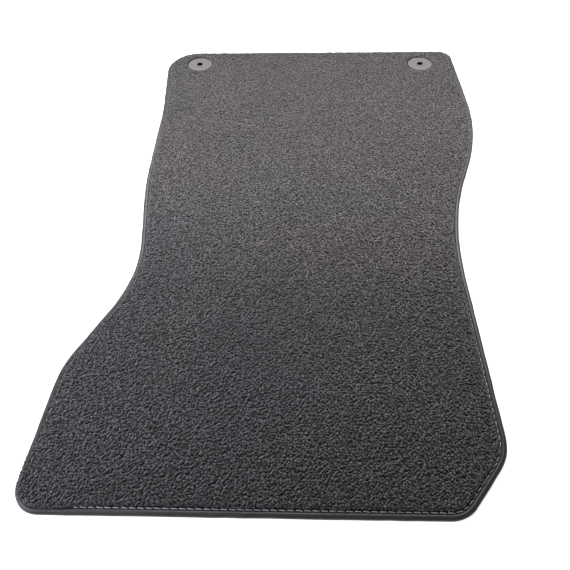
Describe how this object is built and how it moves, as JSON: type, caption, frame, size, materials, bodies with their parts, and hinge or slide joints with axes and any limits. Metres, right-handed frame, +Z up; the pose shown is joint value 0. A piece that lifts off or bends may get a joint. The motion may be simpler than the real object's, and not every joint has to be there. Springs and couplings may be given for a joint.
{
  "type": "vehicle floor mat",
  "caption": "Charcoal tufted carpet floor mat with a stitched rolled edge binding, a nubbed rubber underside and round stud fasteners near its far corners.",
  "frame": {"origin": "on the floor, under the centre of the mat's bounding box", "axes": "+Y along the mat to the seat end that carries the fasteners, +X to the right seen from above with +Y away, +Z up"},
  "size_m": [0.5031, 0.777, 0.0106],
  "materials": {
    "pile": "tufted velour",
    "primary_cloth": "woven",
    "latex": "matte coat",
    "rubber": "moulded, nubbed",
    "binding": "grained imitation leather tape",
    "thread": "twisted polyester",
    "fastener_plastic": "moulded satin"
  },
  "bodies": {
    "root": {"pile_carpet": "pile", "primary_backing": "primary_cloth", "latex_coat": "latex", "rubber_backing": "rubber", "edge_binding": "binding", "needle_thread": "thread", "bobbin_thread": "thread", "left_fastener_disc": "fastener_plastic", "left_fastener_lock_ring": "fastener_plastic", "right_fastener_disc": "fastener_plastic", "right_fastener_lock_ring": "fastener_plastic"}
  },
  "joints": []
}
